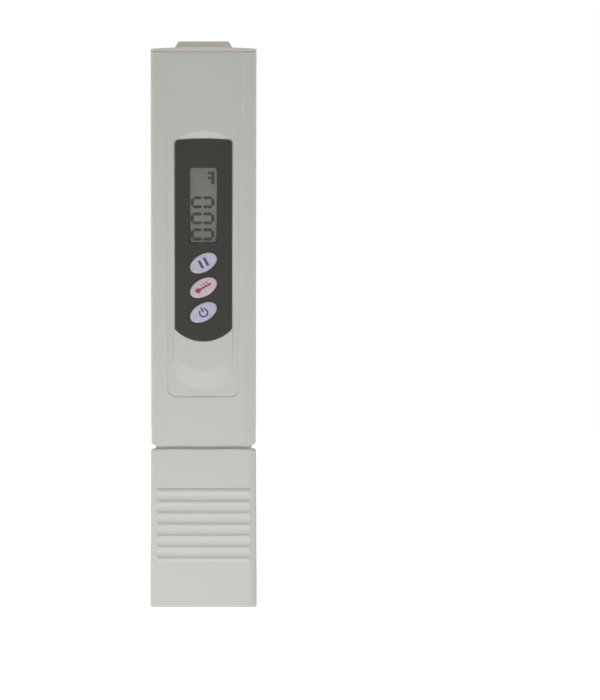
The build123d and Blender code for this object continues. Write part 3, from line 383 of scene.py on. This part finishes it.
def layInk(name, body, material, outlines, place, thickness):
    # thin closed plates; place(u, v, rise) gives a point over the carrying face
    mesh = bpy.data.meshes.new(name)
    build = bmesh.new()
    for outline in outlines:
        lower = [build.verts.new(place(u, v, 0.0)) for u, v in outline]
        upper = [build.verts.new(place(u, v, thickness)) for u, v in outline]
        count = len(outline)
        build.faces.new(upper)
        build.faces.new(list(reversed(lower)))
        for index in range(count):
            after = (index + 1) % count
            build.faces.new((lower[index], lower[after], upper[after], upper[index]))
    bmesh.ops.recalc_face_normals(build, faces=build.faces)
    build.to_mesh(mesh)
    build.free()
    mesh.materials.append(material)
    piece = bpy.data.objects.new(name, mesh)
    bpy.context.scene.collection.objects.link(piece)
    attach(piece, body)


# Display reading, in mm: three noughts on their side and a level gauge above them.
# The digits' centres lie these drops below the top digit's
readingLook = {
    "topDigit": 110.15, "digitDrops": (0.0, 4.4, 8.75), "digitWidth": 2.45, "digitHeight": 5.55,
    "left": -3.05, "stroke": 0.82, "gap": 0.08, "thickness": 0.02,
    "gauge": {"x": 2.05, "z": 115.1, "width": 0.9, "height": 3.4},
    "tick": {"width": 0.8, "height": 0.75}, "tickCount": 2,
}
readingInk = {
    "colour": (16, 17, 14), "spread": 0.04, "grain": 5000.0, "unevenness": 300.0,
    "roughness": (0.35, 0.45), "bump": 0.02, "depth": 0.00001, "shine": 0.05,
}


def glassFace():
    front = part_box("lcd_glass")[0].y

    def place(u, v, rise):
        return (u * mm, front - rise * mm, v * mm)
    return place


def readingOutlines(look):
    outlines = []
    half = look["digitWidth"] / 2
    left = look["left"]
    right = left + look["digitHeight"]
    middle = (left + right) / 2
    gap = look["gap"]
    stroke = look["stroke"]
    for drop in look["digitDrops"]:
        centre = look["topDigit"] - drop
        bottom, top = centre - half, centre + half
        for side in (bottom, top):
            outlines.append(segmentOutline((left + gap, side), (middle - gap, side), stroke))
            outlines.append(segmentOutline((middle + gap, side), (right - gap, side), stroke))
        for end in (left, right):
            outlines.append(segmentOutline((end, bottom + gap), (end, top - gap), stroke))
    # the gauge is an upright bar with ticks on its left
    gauge, tick = look["gauge"], look["tick"]
    outlines.append(barOutline(**gauge))
    tickX = gauge["x"] - tick["width"] - gap
    for step in range(1, look["tickCount"] + 1):
        lift = step * (gauge["height"] - tick["height"]) / look["tickCount"]
        outlines.append(barOutline(tickX, gauge["z"] + lift, **tick))
    return outlines


layInk("displayReading", "housing",
       plasticMaterial("displaySegments", readingInk),
       readingOutlines(readingLook), glassFace(), readingLook["thickness"])
print("display reading placed")


# Key marks: plain signs in mm, turned with the oval keys and sunk a little into them
markLook = {
    "tilt": 29.5, "thickness": 0.015, "sunk": 0.004, "blue": (58, 62, 96), "red": (150, 58, 74),
}
pauseLook = {"left": -1.15, "right": 0.45, "bar": {"z": -1.2, "width": 0.7, "height": 2.4}}
switchLook = {
    "ring": {"centre": (0, -0.12), "outer": 1.3, "inner": 0.88,
             "start": 125, "end": 415, "steps": 20},
    "stroke": {"x": -0.21, "z": 0.1, "width": 0.42, "height": 1.35},
}
thermometerLook = {
    "bulb": {"centre": (-1.7, 0), "outer": 0.72, "inner": 0.001,
             "start": 0, "end": 360, "steps": 16},
    "stem": {"x": -1.2, "z": -0.27, "width": 3.5, "height": 0.54},
    "ticks": (-0.4, 0.45, 1.3), "tick": {"z": 0.5, "width": 0.28, "height": 0.6},
}


def keyFace(node, look):
    low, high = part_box(node)
    centre = (low.z + high.z) / 2
    turn = radians(look["tilt"])

    def place(u, v, rise):
        return ((u * cos(turn) - v * sin(turn)) * mm,
                low.y - (rise - look["sunk"]) * mm,
                centre + (u * sin(turn) + v * cos(turn)) * mm)
    return place


def markInk(name, colour):
    return plasticMaterial(name, {
        "colour": colour, "spread": 0.06, "grain": 6000.0, "unevenness": 500.0,
        "roughness": (0.4, 0.5), "bump": 0.05, "depth": 0.00001,
    })


blueInk = markInk("blueKeyInk", markLook["blue"])
redInk = markInk("redKeyInk", markLook["red"])
holdMark = [barOutline(pauseLook[side], **pauseLook["bar"]) for side in ("left", "right")]
powerMark = ringOutlines(**switchLook["ring"]) + [barOutline(**switchLook["stroke"])]
tempMark = ringOutlines(**thermometerLook["bulb"]) + [barOutline(**thermometerLook["stem"])]
for tickX in thermometerLook["ticks"]:
    tempMark.append(barOutline(tickX, **thermometerLook["tick"]))

keyMarks = (
    ("holdMark", "hold_button", "key_lavender", blueInk, holdMark, "hold_key"),
    ("powerMark", "power_button", "key_lavender", blueInk, powerMark, "power_key"),
    ("tempMark", "temp_button", "key_pink", redInk, tempMark, "temp_key"),
)
for name, body, slotName, fill, outlines, key in keyMarks:
    layInk(name, body, fill, outlines, keyFace(key, markLook), markLook["thickness"])
print("key marks placed")


# Circuit board with tracks under green solder mask
boardLook = {
    "mask": (30, 92, 58), "maskShade": (34, 98, 62), "track": (52, 124, 80),
    "trackScale": 420.0, "trackWidth": 0.06, "trackBlur": 0.1,
    "grain": 2500.0, "unevenness": 200.0, "roughness": (0.3, 0.42), "bump": 0.3,
    "depth": 0.00003,
}


def boardMaterial(look):
    material, tree, shader = newMaterial("boardLaminate")
    place = addNode(tree, "ShaderNodeTexCoord")
    # the brick pattern lies in its own XY plane, and the board stands upright
    upright = setInputs(addNode(tree, "ShaderNodeMapping"), Rotation=(radians(90), 0, 0))
    tracks = setInputs(
        addNode(tree, "ShaderNodeTexBrick"),
        Scale=look["trackScale"], Mortar_Size=look["trackWidth"], Mortar_Smooth=look["trackBlur"],
        Color1=srgb(*look["mask"]), Color2=srgb(*look["maskShade"]), Mortar=srgb(*look["track"]),
    )
    grain = placeGroup(tree, grainGroup, Grain=look["grain"], Unevenness=look["unevenness"])
    tree.links.new(place.outputs["Object"], upright.inputs["Vector"])
    tree.links.new(upright.outputs[0], tracks.inputs["Vector"])
    tree.links.new(tracks.outputs["Color"], shader.inputs["Base Color"])
    feedRoughness(tree, shader, grain.outputs["Slow"], *look["roughness"])
    feedBump(tree, shader, tracks.outputs["Fac"], look["bump"], look["depth"])
    return material


dress(boardMaterial(boardLook), "main_board")

# Inner plastics, rubber and ceramics: nodes, colour, spread and roughness
innerPlasticLook = {"grain": 4200.0, "unevenness": 150.0, "bump": 0.2, "depth": 0.00003}
plungers = ("hold_plunger", "temp_plunger", "power_plunger")
innerPlastics = {
    "framePlastic": (("lcd_frame",), (226, 226, 220), 0.02, (0.45, 0.55)),
    "resinDrop": (("controller_chip",), (24, 24, 26), 0.1, (0.12, 0.22)),
    "chipBlack": (("amplifier_chip",), (40, 40, 42), 0.08, (0.5, 0.6)),
    "capacitorCeramic": (("chip_capacitors",), (170, 142, 106), 0.08, (0.4, 0.5)),
    "resistorCeramic": (("chip_resistors",), (42, 42, 46), 0.08, (0.35, 0.5)),
    "switchPlastic": (("switch_bodies",), (46, 46, 50), 0.05, (0.45, 0.55)),
    "plungerPlastic": (plungers, (62, 62, 64), 0.05, (0.45, 0.55)),
    "trimmerPlastic": (("trimmer_body",), (52, 92, 168), 0.04, (0.25, 0.35)),
    "rotorPlastic": (("trimmer_rotor",), (40, 40, 42), 0.08, (0.4, 0.5)),
    "contactRubber": (("zebra_strips",), (196, 132, 128), 0.12, (0.55, 0.7)),
    "sealRubber": (("neck_seal",), (42, 42, 42), 0.1, (0.6, 0.75)),
    "probePlastic": (("probe_housing",), (206, 206, 199), 0.015, (0.45, 0.55)),
    "leadSleeve": (("probe_leads",), (150, 42, 38), 0.06, (0.4, 0.5)),
}
for name, (names, colour, spread, roughness) in innerPlastics.items():
    look = dict(innerPlasticLook, colour=colour, spread=spread, roughness=roughness)
    dress(plasticMaterial(name, look), *names)

# Inner metals: nodes, colour, stretch of the brushed lines and roughness
innerMetalLook = {"spread": 0.04, "fineness": 3500.0, "bump": 0.12, "depth": 0.00002}
alongX, alongY, alongZ = (0.05, 1.0, 1.0), (1.0, 0.05, 1.0), (1.0, 1.0, 0.05)
innerMetals = {
    "crystalCan": (("crystal",), (200, 200, 202), alongZ, (0.22, 0.34)),
    "screwSteel": (("board_screws",), (176, 176, 178), (1.0, 0.1, 1.0), (0.25, 0.4)),
    "contactStrip": (("battery_contacts",), (214, 192, 130), alongZ, (0.25, 0.4)),
    "bridgeStrip": (("battery_bridge",), (205, 205, 203), alongX, (0.25, 0.4)),
    "cellSteel": (("left_cell", "right_cell"), (206, 206, 206), alongY, (0.16, 0.3)),
    "electrodeMetal": (("probe_pins",), (184, 182, 178), alongZ, (0.22, 0.36)),
    "sensorCan": (("thermistor",), (196, 196, 194), alongZ, (0.2, 0.32)),
}
for name, (names, colour, stretch, roughness) in innerMetals.items():
    look = dict(innerMetalLook, colour=colour, stretch=stretch, roughness=roughness)
    dress(metalMaterial(name, look), *names)
print("inner pieces dressed")


# Floor, room, lamps and camera

def seenByEye(tree):
    # 1 where the surface is seen, also in a reflection or through glass, and 0 where it only lights
    path = addNode(tree, "ShaderNodeLightPath")
    seen = addNode(tree, "ShaderNodeMath", operation="MAXIMUM")
    seenThrough = addNode(tree, "ShaderNodeMath", operation="MAXIMUM")
    tree.links.new(path.outputs["Is Camera Ray"], seen.inputs[0])
    tree.links.new(path.outputs["Is Glossy Ray"], seen.inputs[1])
    tree.links.new(seen.outputs[0], seenThrough.inputs[0])
    tree.links.new(path.outputs["Is Transmission Ray"], seenThrough.inputs[1])
    return seenThrough.outputs[0]


# White floor: its glow grows from the first lift to the second between the two fade distances,
# so that a soft shadow stays under the pen. Sizes in metres
floorLook = {
    "size": 12.0, "colour": (240, 240, 238), "roughness": 0.9,
    "lift": (0.6, 1.0), "fade": (0.2, 0.8),
}


def paperMaterial(look):
    material, tree, shader = newMaterial("floorPaper")
    setInputs(shader, Base_Color=srgb(*look["colour"]), Roughness=look["roughness"],
              Emission_Color=white)
    place = addNode(tree, "ShaderNodeTexCoord")
    reach = addNode(tree, "ShaderNodeVectorMath", operation="LENGTH")
    fade = addNode(tree, "ShaderNodeMapRange", interpolation_type="SMOOTHSTEP")
    setInputs(fade, From_Min=look["fade"][0], From_Max=look["fade"][1],
              To_Min=look["lift"][0], To_Max=look["lift"][1])
    lift = addNode(tree, "ShaderNodeMath", operation="MULTIPLY")
    tree.links.new(place.outputs["Object"], reach.inputs[0])
    tree.links.new(reach.outputs["Value"], fade.inputs["Value"])
    tree.links.new(seenByEye(tree), lift.inputs[0])
    tree.links.new(fade.outputs[0], lift.inputs[1])
    tree.links.new(lift.outputs[0], shader.inputs["Emission Strength"])
    return material


side = floorLook["size"] / 2
floorCorners = [(-side, -side, 0), (side, -side, 0), (side, side, 0), (-side, side, 0)]
floorMesh = bpy.data.meshes.new("floor")
floorMesh.from_pydata(floorCorners, [], [(0, 1, 2, 3)])
floorMesh.materials.append(paperMaterial(floorLook))
floor = bpy.data.objects.new("floor", floorMesh)
floor.visible_shadow = False
bpy.context.scene.collection.objects.link(floor)

# Room: dim as a light, white where it is seen
worldLook = {"ambient": 0.21}
world = bpy.data.worlds.new("paleRoom")
world.use_nodes = True
bpy.context.scene.world = world
worldTree = world.node_tree
background = setInputs(worldTree.nodes["Background"], Color=white)
strength = addNode(worldTree, "ShaderNodeMapRange")
setInputs(strength, From_Min=0.0, From_Max=1.0, To_Min=worldLook["ambient"], To_Max=1.0)
worldTree.links.new(seenByEye(worldTree), strength.inputs["Value"])
worldTree.links.new(strength.outputs[0], background.inputs["Strength"])

# Lamps, in metres and watts; left and right are as seen from each side. The floor casts no
# shadow, so the two key lamps can stand below it
lampLook = {
    "keyFront": {"place": (-0.07, -0.33, -0.15), "size": 0.22, "power": 0.81},
    "keyBack": {"place": (0.09, 0.35, -0.11), "size": 0.2, "power": 0.85},
    "leftFront": {"place": (-0.5, -0.2, 0.08), "size": 0.3, "power": 0.42},
    "rightFront": {"place": (0.5, -0.2, 0.08), "size": 0.3, "power": 0.56},
    "leftBack": {"place": (0.5, 0.2, 0.08), "size": 0.3, "power": 0.42},
    "rightBack": {"place": (-0.5, 0.2, 0.08), "size": 0.3, "power": 0.56},
    "above": {"place": (0, 0, 0.6), "size": 0.3, "power": 0.95},
}
objectMiddle = Vector((0, 0, 0.06))
for name, look in lampLook.items():
    lampData = bpy.data.lights.new(name, "AREA")
    lampData.shape = "DISK"
    lampData.size = look["size"]
    lampData.energy = look["power"]
    lamp = bpy.data.objects.new(name, lampData)
    lamp.location = look["place"]
    towards = objectMiddle - lamp.location
    lamp.rotation_euler = towards.to_track_quat("-Z", "Y").to_euler()
    lamp.visible_camera = False
    bpy.context.scene.collection.objects.link(lamp)

# Camera: the picture is 600 x 700 points, and one point is 0.2727 mm at the object
cameraLook = {
    "distance": 2.6, "clipEnd": 20.0, "pointSize": 0.0002727, "across": 600, "up": 700,
    "objectX": 203.7, "objectFoot": 606.5,
}
pointSize = cameraLook["pointSize"]
cameraData = bpy.data.cameras.new("camera")
cameraData.lens = cameraData.sensor_width * cameraLook["distance"] / (cameraLook["up"] * pointSize)
cameraData.clip_end = cameraLook["clipEnd"]
camera = bpy.data.objects.new("camera", cameraData)
camera.location = (
    (cameraLook["across"] / 2 - cameraLook["objectX"]) * pointSize,
    -cameraLook["distance"],
    (cameraLook["objectFoot"] - cameraLook["up"] / 2) * pointSize,
)
camera.rotation_euler = (pi / 2, 0, 0)
bpy.context.scene.collection.objects.link(camera)
bpy.context.scene.camera = camera

bpy.context.scene.view_settings.view_transform = "Standard"
print("floor, room, lamps and camera set")
